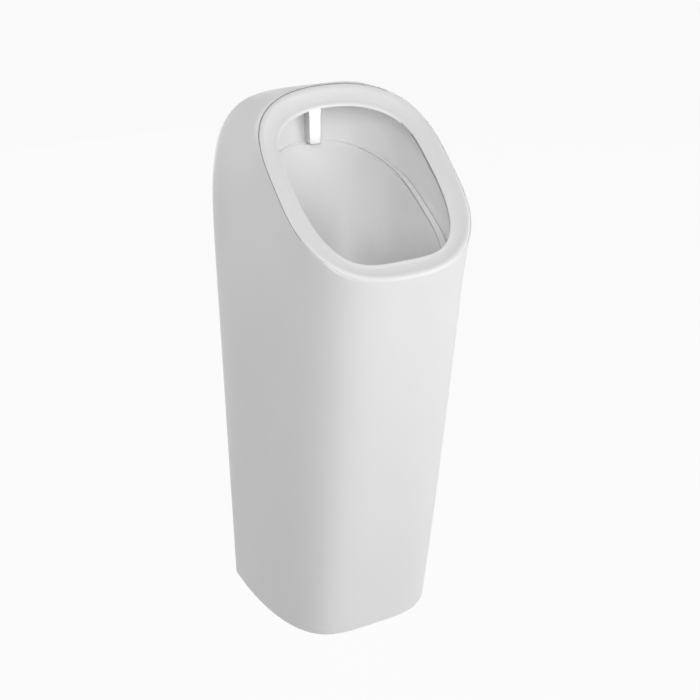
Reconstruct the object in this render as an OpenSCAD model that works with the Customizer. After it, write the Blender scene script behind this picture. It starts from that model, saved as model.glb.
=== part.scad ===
// Floor standing urinal, one-piece glazed ceramic, concealed rear inlet and bottle trap.
// Front faces -Y, the wall side faces +Y, +Z is up and the floor is z = 0.
// Every y inside this file is measured from the wall plane; at_wall() moves it to the part's frame.

/* [Overall] */
// Height of the rim's top edge above the floor
overall_h = 900; // [860:5:940]
// Depth from the wall to the front of the rim
overall_d = 344; // [330:2:364]
// Width of the body at the floor
base_w = 320; // [300:1:335]
// Depth of the body at the floor
base_d = 244; // [225:1:265]
// Width of the back edge, taken on to its top
back_w = 339.5; // [325:0.5:355]
// How far the back edge's top lies below the rim's top
back_drop = 15; // [10:1:30]
// Height at which the back edge starts to round over
back_shoulder_h = 567; // [540:1:640]

/* [Rim] */
// Width over the rim
rim_w = 290; // [276:1:300]
// Height of the rim's front edge, the lip
lip_h = 690; // [670:1:705]
// Distance from the wall to the rim's top edge
rim_setback = 64; // [56:1:70]
// Width of the rim face at the sides
rim_side = 32; // [28:1:36]
// Plan depth of the rim face at the lip
rim_front = 25.5; // [24:0.5:32]
// Plan depth of the rim face at the top
rim_back = 18.5; // [17:0.5:26]
// How far the rim face falls towards the cavity at the top
rim_fall_back = 15; // [10:0.5:16]
// How far the rim face falls towards the cavity at the lip
rim_fall_front = 3.5; // [2:0.5:10]
// Radius of the rim's outer edge
rim_edge_r = 2; // [1.5:0.5:4]
// Radius of the rim's inner edge
lip_r = 3; // [2:0.5:4]
// How far the inner wall lies outside the rim's inner edge
undercut = 13; // [10:1:14]

/* [Bowl] */
// Ceramic between the cavity and the wall plane behind it
back_wall_t = 10; // [9:0.5:12]
// How far the water ledge lies below the rim's top at the back
ledge_back_drop = 96; // [90:1:108]
// How far the water ledge lies below the lip at the front
ledge_front_drop = 31; // [28:1:42]
// Distance from the wall to the ledge's edge
ledge_setback = 25; // [22:1:30]
// Distance from the rim's front to the ledge's front edge
ledge_front_gap = 55; // [50:1:62]
// Width between the ledge's side edges
ledge_w = 229; // [220:1:236]
// Width of the ledge's sloping shelf
ledge_step = 11; // [8:1:13]
// How far the ledge rises towards the wall
ledge_rise = 6; // [4:0.5:8]
// Height of the bowl's floor at the outlet
bowl_floor_h = 548; // [530:1:560]
// Distance from the wall to the outlet's centre
outlet_setback = 165; // [155:1:175]

/* [Ceramic walls] */
// Thickness of the outer shell
shell_t = 10; // [9:0.5:12]
// Thickness of the bowl
bowl_t = 11; // [10:0.5:13]
// Width of the foot and of the back flange
flange_w = 14; // [13:0.5:18]
// Radius of the edges at the floor and at the wall
foot_r = 4; // [3:0.5:5]
// How far the top of the back opening lies below the rim's top
opening_drop = 126; // [124:1:140]
// Thickness of the boss round the outlet
boss_t = 18; // [16:1:22]
// Radius of the boss round the outlet
boss_r = 42; // [40:1:46]

/* [Spreader] */
// Width of the spreader bar
bar_w = 20.5; // [19:0.5:24]
// Depth of the spreader bar
bar_d = 17.5; // [14:0.5:18]
// Length of the spreader bar
bar_h = 60; // [56:1:62]
// How far the bar's lower end lies below the rim's top
bar_drop = 106; // [103:1:110]
// Radius of the bar's lower corners
bar_corner_r = 5; // [3:0.5:7]
// Radius of the bar's lower front edge
bar_toe_r = 3; // [2:0.5:5]
// Wall of the bar's metal cover
cover_t = 1.2; // [1:0.1:1.6]
// How far the water inlet lies above the bar's lower end
inlet_rise = 46; // [42:1:48]
// Radius of the spreader's threaded tail
tail_r = 6.5; // [6.5:0.1:7]
// Radius of the waterway in the tail
inlet_bore_r = 4.5; // [4:0.1:4.8]
// Radius of the socket in the tail's end that takes the flush pipe
inlet_socket_r = 4.9; // [4.9:0.1:5.2]
// Radius of the inlet hole in the ceramic
inlet_hole_r = 7.5; // [7.3:0.1:8]
// Radius of the recess for the locknut
recess_r = 15; // [14:0.5:18]
// Thickness of the seal behind the bar
bar_seal_t = 1.5; // [1:0.1:2]
// Thickness of the locknut
locknut_t = 3.6; // [3:0.1:3.8]
// Radius over the locknut's corners
locknut_r = 12; // [11:0.5:13]
// Thickness of the washer under the locknut
locknut_washer_t = 0.8; // [0.6:0.1:1]
// Distance from the wall to the back of the flow regulator
regulator_setback = 9; // [8:0.5:10]
// Thickness of the flow regulator
regulator_t = 3; // [2.5:0.5:4]
// Radius of the flow regulator's opening
regulator_hole_r = 2; // [1.5:0.1:2.5]

/* [Waste] */
// Radius of the waste tube
waste_r = 22; // [21:0.5:23]
// Wall of the waste tube
waste_t = 2; // [1.5:0.1:2.5]
// Radius of the waste's top flange
waste_flange_r = 32; // [30:0.5:34]
// Thickness of the waste's top flange
waste_flange_t = 3; // [2.5:0.5:4]
// Length of the waste tube below its flange
waste_len = 82; // [78:1:84]
// Thickness of the seal under the flange
top_seal_t = 2; // [1.5:0.5:3]
// Thickness of the seal under the ceramic
under_seal_t = 4; // [3:0.5:5]
// Thickness of the slip washer over the backnut
slip_washer_t = 2; // [1.5:0.5:3]
// Thickness of the backnut
backnut_t = 12; // [10:1:14]
// Radius over the backnut's corners
backnut_r = 36; // [34:1:38]
// Height of the round shoulder on the backnut
backnut_shoulder = 2; // [1:0.5:3]
// Radius of the strainer dish
strainer_r = 26; // [25:0.5:28]
// Thickness of the strainer
strainer_t = 2; // [1.5:0.1:2.5]
// Height of the strainer's dome
strainer_rise = 4; // [3:0.5:6]
// Depth of the strainer's guide collar
strainer_collar = 8; // [6:1:12]
// Wall of the strainer's guide collar
strainer_collar_t = 1.5; // [1.2:0.1:2]
// Radius of each strainer hole
strainer_hole_r = 2.4; // [2:0.1:2.6]
// Distance from ring to ring of the strainer's holes
strainer_pitch = 7.2; // [6.8:0.1:7.4]

/* [Trap] */
// Radius of the bottle
bottle_r = 38; // [37:0.5:41]
// Length of the inlet neck above the head
neck_len = 27; // [25:1:30]
// Radius of the inlet neck
neck_r = 27; // [26.5:0.5:29]
// Depth of the water seal
seal_depth = 55; // [50:1:60]
// Radius of the dip tube
dip_r = 19; // [18:0.5:20]
// Depth of the cup below the trap head
cup_depth = 74; // [72:1:84]
// How far the cup's collar reaches up the trap head
cup_lap = 12; // [10:1:14]
// Height of the cup's tapered foot
cup_foot_h = 12; // [10:1:16]
// How far the cup's foot is drawn in
cup_foot_in = 10; // [6:1:12]
// How far the cup's collar reaches below its joint
cup_collar_drop = 6; // [4:1:8]
// Radius of the outlet pipe
pipe_r = 20; // [19:0.5:20.5]
// Thickness of the seal under the trap head
cup_seal_t = 2; // [1.5:0.5:3]
// Radius of the outlet neck
side_neck_r = 25; // [24.5:0.5:26]
// Distance from the trap's axis to the end of the outlet neck
side_neck_len = 62; // [58:1:66]
// How far the outlet pipe goes into its neck
pipe_entry = 15; // [12:1:18]
// Wall of the plastic parts
plastic_t = 3; // [2.5:0.1:3.2]
// Thickness of the slip joints' sealing rings
ring_seal_t = 4; // [3:0.5:5]
// Length of the slip nuts
slip_nut_len = 18; // [16:1:20]
// Width of the grip ribs on the nuts and the cup
grip_w = 5; // [4:0.5:6]
// How far the grip ribs stand out
grip_out = 1.5; // [1:0.5:2]
// Radius of the wall collar
wall_collar_r = 36; // [34:1:40]
// Length of the wall collar
wall_collar_len = 22; // [18:1:26]
// Wall of the collar's sleeve
wall_sleeve_t = 5; // [3:0.5:6]
// Thickness of the collar's flange
wall_flange_t = 4; // [3:0.5:6]

/* [Wall fixing] */
// Distance between the two hanging pockets
hanger_spacing = 284; // [282:1:287]
// How far the hanging pockets lie below the rim's top
hanger_drop = 110; // [104:1:114]
// Radius of the pocket's entry
hanger_entry_r = 7; // [6.5:0.5:8]
// Width of the pocket's neck
hanger_neck_w = 6.5; // [6:0.5:7]
// Upward travel in the pocket
hanger_travel = 14; // [12:1:15]
// Depth of the pocket
hanger_depth = 13; // [12:1:14]
// Thickness of the pocket's lip
hanger_lip = 6; // [5:0.5:7]

/* [Fits] */
// Clearance round a seal, a sleeve or a nut
seal_gap = 0.1; // [0.05:0.05:0.2]
// Clearance of a part that slides in or lifts out
slide_gap = 0.3; // [0.2:0.05:0.4]
// Clearance of the notch in the ledge round the spreader bar
bar_gap = 1; // [0.5:0.5:1.5]
// Space between the waste's end and the dip tube's flange
tube_end_gap = 2; // [1:0.5:3]
// Space between the cup's collar and the outlet neck
collar_gap = 3; // [2:0.5:5]
// Clearance round the waste in the ceramic
cast_gap = 1.5; // [1:0.5:2]

/* [Hidden] */
$fn = 64;
eps = 0.01;

// Points round each ring of the ceramic and the angle between them
ring_n = 60;
ring_step = 360 / ring_n;

// Where, round the rim, the corner between floor and wall is taken up
corner_a = -30;
// How the floor edge and the back edge are spread round the ring
floor_spread = 0.571;
back_spread = 0.556;
// Squareness of the plan at the floor, across and along
plan_nx = 4.04;
plan_ny = 2.02;
// Squareness of the back edge's shoulders, across and up
shoulder_nx = 4.03;
shoulder_nz = 4.68;
// Share of the back edge that is its straight side
side_share = 0.6;
// Outward bow of the body's sides
side_bow = 11;
// How much more of the bow lies low than high
bow_skew = 0.71;

function spow(v, e) = sign(v) * pow(abs(v), e);
function mix(a, b, f) = a + (b - a) * f;

// A closed oval round the cavity: [y back, y front, half width, z back, z front, squareness],
// where the squareness is [across at the back, along at the back, across at the front, along at the front].
function oval_point(o, a) =
    let (n = sin(a) >= 0 ? [o[5][0], o[5][1]] : [o[5][2], o[5][3]])
    let (s = spow(sin(a), 2 / n[1]))
    let (mid = (o[0] + o[1]) / 2, half = (o[0] - o[1]) / 2)
    [o[2] * spow(cos(a), 2 / n[0]), mid + half * s, mix(o[4], o[3], (s + 1) / 2)];
function oval(o) = [for (i = [0 : ring_n - 1]) oval_point(o, i * ring_step - 90)];

// The oval o grown by g all round and raised by up
function grown(o, g, up) = [o[0] + g, o[1] - g, o[2] + g, o[3] + up, o[4] + up, o[5]];

// The edge that stands on the floor and runs up the wall: inset from the full
// outline, and depth in from the floor and the wall.
function floor_edge(t, inset, depth) =
    [(base_w / 2 - inset) * spow(cos(t), 2 / plan_nx),
     -depth - (base_d - inset - depth) * pow(abs(sin(t)), 2 / plan_ny),
     depth];
function back_half_w(z) = mix(base_w, back_w, z / back_h) / 2;
function back_edge(u, inset, depth, top) =
    let (th = u < side_share ? 0 : 90 * (u - side_share) / (1 - side_share))
    let (z = u < side_share ? mix(depth, back_shoulder_h, u / side_share)
        : mix(back_shoulder_h, top - inset, pow(sin(th), 2 / shoulder_nz)))
    [(back_half_w(z) - inset) * pow(abs(cos(th)), 2 / shoulder_nx), -depth, z];
function outline_point(a, inset, depth, top) =
    let (b = a > 90 ? 180 - a : a)
    let (p = b < corner_a
        ? floor_edge(90 * pow((corner_a - b) / (90 + corner_a), floor_spread), inset, depth)
        : back_edge(pow((b - corner_a) / (90 - corner_a), back_spread), inset, depth, top))
    [a > 90 ? -p[0] : p[0], p[1], p[2]];
function outline(inset, depth, top) =
    [for (i = [0 : ring_n - 1]) outline_point(i * ring_step - 90, inset, depth, top)];

// A ring between two rings, bowed outwards at the sides
function between(low, high, f, bow) = [for (i = [0 : ring_n - 1])
    let (a = i * ring_step - 90)
    mix(low[i], high[i], f) + [4 * f * (1 - f) * bow * (1 + bow_skew * (1 - 2 * f)) * cos(a) * abs(cos(a)), 0, 0]];

// A ring that rounds the corner c between the rings p and q, f of the way round
function corner_ring(c, p, q, r, f) = [for (i = [0 : ring_n - 1])
    let (from = c[i] + r * (p[i] - c[i]) / norm(p[i] - c[i]))
    let (to = c[i] + r * (q[i] - c[i]) / norm(q[i] - c[i]))
    mix(mix(from, c[i], f), mix(c[i], to, f), f)];

// Squareness of each oval: across and along at the back, across and along at the front
rim_sq = [2.27, 3.20, 2.48, 2.96];
inner_sq = [2.14, 3.90, 3.90, 2.28];
ledge_sq = [2.09, 2.38, 3.64, 3.68];
apex_sq = [3.20, 3.20, 2.70, 2.80];
round_sq = [2, 2, 2, 2];

// Distance the bowl's round floor stays inside the boss, and the height over which the boss rounds in
boss_inset = 6;
boss_round = 8;
// Radius of the closed core that the outlet is cut from
core_r = 16;
// Overlap of two shapes that are joined or cut
lap = 1;

// Heights that follow from the rim's
back_h = overall_h - back_drop;
ledge_back_h = overall_h - ledge_back_drop;
ledge_front_h = lip_h - ledge_front_drop;
opening_h = overall_h - opening_drop;
bar_bottom_h = overall_h - bar_drop;
inlet_h = bar_bottom_h + inlet_rise;
hanger_h = overall_h - hanger_drop;

// The corner that the rim's outer edge is rounded from stands a little above the finished top
corner_rise = 0.2 * rim_edge_r;
rim_slope = (overall_h - lip_h) / (overall_d - rim_setback);
inner_back_y = -rim_setback - rim_back;
inner_front_y = rim_front - overall_d;
rim_outer = [-rim_setback, -overall_d, rim_w / 2, overall_h + corner_rise, lip_h, rim_sq];
rim_inner = [inner_back_y, inner_front_y, rim_w / 2 - rim_side, overall_h - rim_back * rim_slope - rim_fall_back,
    lip_h + rim_front * rim_slope - rim_fall_front, inner_sq];
inner_top_h = rim_inner[3];
ledge_edge = [-ledge_setback, ledge_front_gap - overall_d, ledge_w / 2, ledge_back_h, ledge_front_h, ledge_sq];
ledge_root = [-back_wall_t, ledge_edge[1] - ledge_step, ledge_w / 2 + ledge_step,
    ledge_back_h + ledge_rise, ledge_front_h + ledge_rise, ledge_sq];
wall_half_w = rim_w / 2 - rim_side + undercut;
wall_mid = [-back_wall_t, inner_front_y - 6, wall_half_w, inner_top_h - 14, ledge_front_h + 22, [2.3, 2.8, 3.6, 3]];
wall_top = [-back_wall_t - 8, inner_front_y - undercut + 2, wall_half_w,
    inner_top_h, rim_inner[4] - 20, [2.2, 3.4, 3.6, 2.6]];
wall_lip = [inner_back_y + 9, inner_front_y - 8, rim_inner[2] + 8, rim_inner[3] + 1, rim_inner[4] - 12, inner_sq];

outlet_y = -outlet_setback;
function outlet_oval(r, z) = [outlet_y + r, outlet_y - r, r, z, z, round_sq];
bowl_end = outlet_oval(boss_r - boss_inset, bowl_floor_h);
function bowl_ring(th, o, e) =
    let (r = pow(cos(th), 0.9), d = sin(th))
    [mix(e[0], o[0], r), mix(e[1], o[1], r), mix(e[2], o[2], r),
     mix(o[3], e[3], d), mix(o[4], e[4], d), mix(e[5], o[5], r)];

apex = [-8, shell_t + 6 - overall_d, rim_w / 2 - 6, opening_h - 2, lip_h - 26, apex_sq];
under_edge = grown(ledge_edge, bowl_t, -bowl_t);
under_end = outlet_oval(boss_r, bowl_floor_h - boss_t + boss_round);

skin_low = outline(0, foot_r, back_h);
skin_high = oval(rim_outer);
body_high = between(skin_low, skin_high, 0.96, side_bow);
hollow_low = outline(flange_w, 0, opening_h);
hollow_high = oval(apex);

rings = concat(
    [oval(outlet_oval(core_r, bowl_floor_h))],
    [for (th = [90 : -11.25 : 11.25]) oval(bowl_ring(th, ledge_edge, bowl_end))],
    [oval(ledge_edge), oval(ledge_root), oval(wall_mid), oval(wall_top), oval(wall_lip)],
    [for (f = [0, 0.5, 1]) corner_ring(oval(rim_inner), oval(wall_lip), skin_high, lip_r, f)],
    [for (f = [0, 0.35, 0.65, 1]) corner_ring(skin_high, oval(rim_inner), body_high, rim_edge_r, f)],
    [for (f = [0.92, 0.8, 0.66, 0.5, 0.34, 0.18, 0.06, 0]) between(skin_low, skin_high, f, side_bow)],
    [outline(1.2, 1.2, back_h), outline(foot_r, 0, back_h), hollow_low],
    [for (f = [0.05, 0.2, 0.4, 0.6, 0.8, 1]) between(hollow_low, hollow_high, f, side_bow)],
    [for (th = [11.25 : 11.25 : 90]) oval(bowl_ring(th, under_edge, under_end))],
    [oval(outlet_oval(boss_r, bowl_floor_h - boss_t)), oval(outlet_oval(core_r, bowl_floor_h - boss_t))]);

// A closed skin over rings that close on themselves
module ring_skin(rs) {
    k = len(rs);
    n = len(rs[0]);
    pts = [for (r = rs, p = r) p];
    faces = [for (j = [0 : k - 1], i = [0 : n - 1])
        let (a = j * n + i, b = j * n + (i + 1) % n, c = ((j + 1) % k) * n + (i + 1) % n, d = ((j + 1) % k) * n + i)
        each [[a, b, c], [a, c, d]]];
    polyhedron(points = pts, faces = faces);
}

module at_wall() translate([0, overall_d / 2, 0]) children();

// Heights and places down the waste and the trap
flange_low_h = bowl_floor_h - waste_flange_t;
waste_low_h = flange_low_h - waste_len;
seat_h = flange_low_h - top_seal_t;
boss_low_h = bowl_floor_h - boss_t;
under_seal_h = boss_low_h - under_seal_t;
slip_washer_h = under_seal_h - slip_washer_t;
backnut_h = slip_washer_h - backnut_t;
head_top_h = waste_low_h - tube_end_gap - plastic_t;
neck_top_h = head_top_h + neck_len;
trap_outlet_h = head_top_h - side_neck_r - 1;
head_low_h = trap_outlet_h - side_neck_r - collar_gap - cup_lap;
invert_h = trap_outlet_h - pipe_r + plastic_t;
dip_low_h = invert_h - seal_depth;
cup_low_h = head_low_h - cup_depth;
side_neck_y = outlet_y + side_neck_len;
pipe_end_y = side_neck_y - pipe_entry;

// Places across the spreader
recess_d = locknut_washer_t + locknut_t + 0.6;
bar_back_y = -back_wall_t - bar_seal_t;
bar_front_y = bar_back_y - bar_d;

module on_outlet(z) translate([0, outlet_y, z]) children();
module along_y(x, y, z) translate([x, y, z]) rotate([-90, 0, 0]) children();

module ring(r_out, r_in, h) difference() {
    cylinder(r = r_out, h = h);
    translate([0, 0, -lap]) cylinder(r = r_in, h = h + 2);
}

// A pocket in the back that drops over a headed pin: a round entry at the foot, and a
// narrow neck above it with room for the head behind
module hanger_pocket() {
    along_y(0, -hanger_depth, 0) cylinder(r = hanger_entry_r, h = hanger_depth + 1);
    translate([-hanger_neck_w / 2, -hanger_depth, 0]) cube([hanger_neck_w, hanger_depth + 1, hanger_travel]);
    along_y(0, -hanger_depth, hanger_travel) cylinder(r = hanger_neck_w / 2, h = hanger_depth + 1);
    along_y(0, -hanger_depth, hanger_travel) cylinder(r = hanger_entry_r, h = hanger_depth - hanger_lip);
    translate([-hanger_entry_r, -hanger_depth, 0])
        cube([2 * hanger_entry_r, hanger_depth - hanger_lip, hanger_travel]);
}

module ceramic_body() {
    color("white") at_wall() difference() {
        ring_skin(rings);
        on_outlet(boss_low_h - 10) cylinder(r = waste_r + cast_gap, h = boss_t + 20);
        on_outlet(seat_h) cylinder(r = waste_flange_r + cast_gap, h = 20);
        along_y(0, -back_wall_t - 20, inlet_h) cylinder(r = inlet_hole_r, h = back_wall_t + 21);
        along_y(0, -recess_d, inlet_h) cylinder(r = recess_r, h = recess_d + 1);
        translate([-bar_w / 2 - bar_gap, -back_wall_t - bar_d - 20, bar_bottom_h - bar_gap])
            cube([bar_w + 2 * bar_gap, bar_d + 20, bar_h + 2 * bar_gap]);
        for (side = [-1, 1]) translate([side * hanger_spacing / 2, 0, hanger_h]) hanger_pocket();
    }
}

// The bar's outline seen from the front, w wide and h tall, with rounded lower corners
module bar_face(w, h, r) {
    translate([-w / 2, r]) square([w, h - r]);
    translate([r - w / 2, 0]) square([w - 2 * r, h]);
    for (side = [-1, 1]) translate([side * (w / 2 - r), r]) circle(r);
}

// The bar's outline seen from the side, d deep, with a rounded toe
module bar_side(d, h, r) {
    translate([-d, r]) square([d, h - r]);
    translate([r - d, 0]) square([d - r, h]);
    translate([r - d, r]) circle(r);
}

module bar_block(w, d, h, corner, toe) intersection() {
    rotate([90, 0, 0]) linear_extrude(d) bar_face(w, h, corner);
    translate([-w, 0, 0]) rotate([90, 0, 90]) linear_extrude(2 * w) bar_side(d, h, toe);
}

module spreader_cover() {
    color("silver") at_wall() translate([0, bar_back_y, bar_bottom_h]) difference() {
        bar_block(bar_w, bar_d, bar_h, bar_corner_r, bar_toe_r);
        translate([0, 1, cover_t]) bar_block(bar_w - 2 * cover_t, bar_d + 1 - cover_t,
            bar_h - 2 * cover_t, bar_corner_r - cover_t, bar_toe_r - cover_t);
        translate([0, -bar_d / 2, -1]) cylinder(r = inlet_bore_r + 1, h = cover_t + 2);
    }
}

module spreader_body() {
    inner = cover_t + seal_gap;
    color("dimgray") at_wall() difference() {
        union() {
            translate([0, bar_back_y, bar_bottom_h + inner])
                bar_block(bar_w - 2 * inner, bar_d - inner, bar_h - 2 * inner, bar_corner_r - inner, bar_toe_r - inner);
            along_y(0, bar_back_y - 1, inlet_h) cylinder(r = tail_r, h = -bar_back_y + 0.5);
        }
        along_y(0, bar_back_y - bar_d / 2 - inlet_bore_r, inlet_h) cylinder(r = inlet_bore_r, h = bar_d + 20);
        along_y(0, -regulator_setback, inlet_h) cylinder(r = inlet_socket_r, h = regulator_setback + 1);
        translate([0, bar_back_y - bar_d / 2, bar_bottom_h]) cylinder(r = inlet_bore_r, h = inlet_rise);
    }
}

module spreader_seal() {
    color("#222222") at_wall() along_y(0, bar_back_y, inlet_h)
        ring(bar_w / 2 - seal_gap, tail_r + seal_gap, bar_seal_t);
}

module spreader_washer() {
    color("#b33a2a") at_wall() along_y(0, -recess_d, inlet_h)
        ring(locknut_r + 1, tail_r + seal_gap, locknut_washer_t);
}

module spreader_locknut() {
    color("goldenrod") at_wall() along_y(0, locknut_washer_t - recess_d, inlet_h) difference() {
        cylinder(r = locknut_r, h = locknut_t, $fn = 6);
        translate([0, 0, -lap]) cylinder(r = tail_r + seal_gap, h = locknut_t + 2);
    }
}

module flow_regulator() {
    color("orangered") at_wall() along_y(0, -regulator_setback - regulator_t, inlet_h)
        ring(inlet_bore_r - seal_gap / 2, regulator_hole_r, regulator_t);
}

module strainer() {
    dome_r = (strainer_r * strainer_r + strainer_rise * strainer_rise) / (2 * strainer_rise);
    collar_r = waste_r - waste_t - slide_gap;
    color("silver") at_wall() on_outlet(bowl_floor_h - strainer_t) {
        difference() {
            union() {
                rotate_extrude() intersection() {
                    difference() {
                        translate([0, strainer_rise + strainer_t - dome_r]) circle(dome_r, $fn = 180);
                        translate([0, strainer_rise - dome_r]) circle(dome_r, $fn = 180);
                    }
                    square([strainer_r, 40]);
                }
                translate([0, 0, -strainer_collar]) ring(collar_r, collar_r - strainer_collar_t, strainer_collar + strainer_t);
            }
            for (ring_no = [1, 2], i = [0 : 6 * ring_no - 1])
                rotate([0, 0, 360 * i / (6 * ring_no)]) translate([strainer_pitch * ring_no, 0, -lap])
                    cylinder(r = strainer_hole_r, h = 20);
            translate([0, 0, -lap]) cylinder(r = strainer_hole_r, h = 20);
        }
    }
}

module waste_body() {
    color("silver") at_wall() on_outlet(0) difference() {
        union() {
            translate([0, 0, flange_low_h]) cylinder(r = waste_flange_r, h = waste_flange_t);
            translate([0, 0, waste_low_h]) cylinder(r = waste_r, h = waste_len + 1);
        }
        translate([0, 0, waste_low_h - 1]) cylinder(r = waste_r - waste_t, h = waste_len + 20);
        translate([0, 0, bowl_floor_h - strainer_t]) cylinder(r = strainer_r + slide_gap, h = 10);
    }
}

module waste_top_seal() {
    color("#222222") at_wall() on_outlet(seat_h) ring(waste_flange_r - 1, waste_r + seal_gap, top_seal_t);
}

module waste_under_seal() {
    color("#222222") at_wall() on_outlet(under_seal_h) ring(backnut_r, waste_r + seal_gap, under_seal_t);
}

module waste_washer() {
    color("white") at_wall() on_outlet(slip_washer_h) ring(backnut_r, waste_r + seal_gap, slip_washer_t);
}

module waste_backnut() {
    color("goldenrod") at_wall() on_outlet(backnut_h) difference() {
        union() {
            cylinder(r = backnut_r, h = backnut_t - backnut_shoulder, $fn = 6);
            cylinder(r = backnut_r - 3, h = backnut_t);
        }
        translate([0, 0, -lap]) cylinder(r = waste_r + seal_gap, h = backnut_t + 2);
    }
}

// A rib for the fingers on a round of radius r, from height z upwards
module grip(r, z, h) translate([r - grip_out, -grip_w / 2, z]) cube([2 * grip_out, grip_w, h]);

// A plastic union nut over a neck of radius neck, closing on a tube of radius tube
module slip_nut(neck, tube) {
    body_r = neck + plastic_t + 1;
    difference() {
        union() {
            cylinder(r = body_r, h = slip_nut_len);
            for (i = [0 : 7]) rotate([0, 0, 45 * i]) grip(body_r, 2, slip_nut_len - 4);
        }
        translate([0, 0, -lap]) cylinder(r = tube + 0.6, h = slip_nut_len + 2);
        translate([0, 0, -lap]) cylinder(r = neck + slide_gap, h = slip_nut_len - plastic_t + 1);
    }
}

module trap_inlet_nut() {
    color("white") at_wall() on_outlet(neck_top_h + ring_seal_t + plastic_t - slip_nut_len) slip_nut(neck_r, waste_r);
}

module trap_inlet_seal() {
    color("#222222") at_wall() on_outlet(neck_top_h) ring(neck_r, waste_r + seal_gap, ring_seal_t);
}

module trap_body() {
    color("white") at_wall() difference() {
        union() {
            on_outlet(head_low_h) cylinder(r = bottle_r, h = head_top_h - head_low_h);
            on_outlet(head_top_h - 1) cylinder(r = neck_r, h = neck_len + 1);
            along_y(0, outlet_y, trap_outlet_h) cylinder(r = side_neck_r, h = side_neck_len);
        }
        on_outlet(head_low_h - 1) cylinder(r = bottle_r - plastic_t, h = head_top_h - head_low_h - 2 * plastic_t + 1);
        on_outlet(head_top_h - 20) cylinder(r = dip_r + slide_gap, h = 30);
        on_outlet(head_top_h) cylinder(r = waste_r + slide_gap, h = neck_len + 1);
        along_y(0, outlet_y, trap_outlet_h) cylinder(r = pipe_r - plastic_t, h = side_neck_len + 1);
        along_y(0, pipe_end_y, trap_outlet_h) cylinder(r = pipe_r + slide_gap, h = pipe_entry + 1);
    }
}

module dip_tube() {
    color("#dddddd") at_wall() on_outlet(0) difference() {
        union() {
            translate([0, 0, dip_low_h]) cylinder(r = dip_r, h = head_top_h - dip_low_h + 1);
            translate([0, 0, head_top_h]) cylinder(r = waste_r, h = plastic_t);
        }
        translate([0, 0, dip_low_h - 1]) cylinder(r = dip_r - 2, h = head_top_h - dip_low_h + plastic_t + 2);
    }
}

module trap_cup() {
    collar_r = bottle_r + plastic_t + slide_gap;
    shoulder_h = head_low_h - cup_seal_t;
    foot_h = cup_low_h + cup_foot_h;
    foot_r = bottle_r - cup_foot_in;
    collar_low_h = shoulder_h - cup_collar_drop;
    collar_len = cup_collar_drop + cup_seal_t + cup_lap;
    color("white") at_wall() on_outlet(0) difference() {
        union() {
            translate([0, 0, foot_h]) cylinder(r = bottle_r, h = shoulder_h - foot_h);
            translate([0, 0, cup_low_h]) cylinder(r1 = foot_r, r2 = bottle_r, h = cup_foot_h);
            translate([0, 0, collar_low_h]) cylinder(r = collar_r, h = collar_len);
            for (i = [0 : 11]) rotate([0, 0, 30 * i]) grip(collar_r, collar_low_h, collar_len);
        }
        translate([0, 0, foot_h]) cylinder(r = bottle_r - plastic_t, h = shoulder_h - cup_low_h);
        translate([0, 0, cup_low_h + plastic_t])
            cylinder(r1 = foot_r - plastic_t, r2 = bottle_r - plastic_t, h = cup_foot_h - plastic_t + eps);
        translate([0, 0, shoulder_h]) cylinder(r = bottle_r + slide_gap, h = cup_lap + 20);
    }
}

module trap_cup_seal() {
    color("#222222") at_wall() on_outlet(head_low_h - cup_seal_t)
        ring(bottle_r, bottle_r - plastic_t, cup_seal_t);
}

module trap_outlet_nut() {
    color("white") at_wall() along_y(0, side_neck_y + ring_seal_t + plastic_t - slip_nut_len, trap_outlet_h)
        slip_nut(side_neck_r, pipe_r);
}

module trap_outlet_seal() {
    color("#222222") at_wall() along_y(0, side_neck_y, trap_outlet_h) ring(side_neck_r, pipe_r + seal_gap, ring_seal_t);
}

module outlet_pipe() {
    color("white") at_wall() along_y(0, pipe_end_y, trap_outlet_h) ring(pipe_r, pipe_r - waste_t, -pipe_end_y);
}

module wall_collar() {
    color("#333333") at_wall() along_y(0, -wall_collar_len, trap_outlet_h) difference() {
        union() {
            cylinder(r = pipe_r + wall_sleeve_t, h = wall_collar_len);
            translate([0, 0, wall_collar_len - wall_flange_t]) cylinder(r = wall_collar_r, h = wall_flange_t);
        }
        translate([0, 0, -lap]) cylinder(r = pipe_r + seal_gap, h = wall_collar_len + 2);
    }
}

ceramic_body();
spreader_cover();
spreader_body();
spreader_seal();
spreader_washer();
spreader_locknut();
flow_regulator();
strainer();
waste_body();
waste_top_seal();
waste_under_seal();
waste_washer();
waste_backnut();
trap_inlet_nut();
trap_inlet_seal();
trap_body();
dip_tube();
trap_cup();
trap_cup_seal();
trap_outlet_nut();
trap_outlet_seal();
outlet_pipe();
wall_collar();
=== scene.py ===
"""Floor standing urinal: the finished look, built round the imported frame.

Every piece is in metres in the frame's own axes: the floor is z = 0, the wall is at +Y and the
user stands at -Y.
"""
import math

import bmesh
import bpy
from mathutils import Matrix, Vector


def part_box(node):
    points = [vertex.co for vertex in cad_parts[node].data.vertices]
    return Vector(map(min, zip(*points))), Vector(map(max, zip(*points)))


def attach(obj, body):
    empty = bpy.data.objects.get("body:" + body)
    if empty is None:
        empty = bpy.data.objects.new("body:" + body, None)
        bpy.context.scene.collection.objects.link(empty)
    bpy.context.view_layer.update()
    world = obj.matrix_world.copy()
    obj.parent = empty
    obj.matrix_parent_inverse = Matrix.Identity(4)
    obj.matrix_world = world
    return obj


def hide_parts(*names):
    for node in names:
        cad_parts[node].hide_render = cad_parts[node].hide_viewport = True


bl_info = {
    "name": "Floor Standing Urinal",
    "version": (1, 0, 0),
    "blender": (4, 5, 0),
    "location": "View3D > Sidebar > Urinal",
    "description": "Builds a glazed ceramic floor standing urinal round its packed frame",
    "category": "Object",
}

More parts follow.
